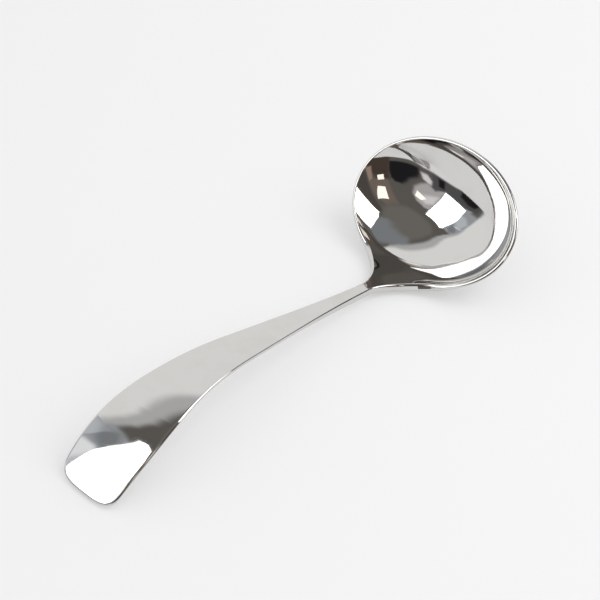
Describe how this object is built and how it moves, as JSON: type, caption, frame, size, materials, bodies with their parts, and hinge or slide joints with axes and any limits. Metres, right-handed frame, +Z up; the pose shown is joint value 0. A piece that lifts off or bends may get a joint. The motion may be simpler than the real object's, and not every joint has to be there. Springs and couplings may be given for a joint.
{
  "type": "gravy ladle",
  "caption": "Polished stainless steel gravy ladle with a wide oval bowl and a handle that widens and curves down to a rounded end.",
  "frame": {"origin": "on the table under the middle of the ladle's length and width, as it rests on its bowl and the tip of its handle", "axes": "-X along the handle from the bowl to the tip, Y across the ladle, +Z up from the table"},
  "size_m": [0.1736, 0.0648, 0.0344],
  "materials": {
    "steel": "mirror polished stainless steel, slightly satin along the middle of the handle"
  },
  "bodies": {
    "root": {"ladle": "steel"}
  },
  "joints": []
}
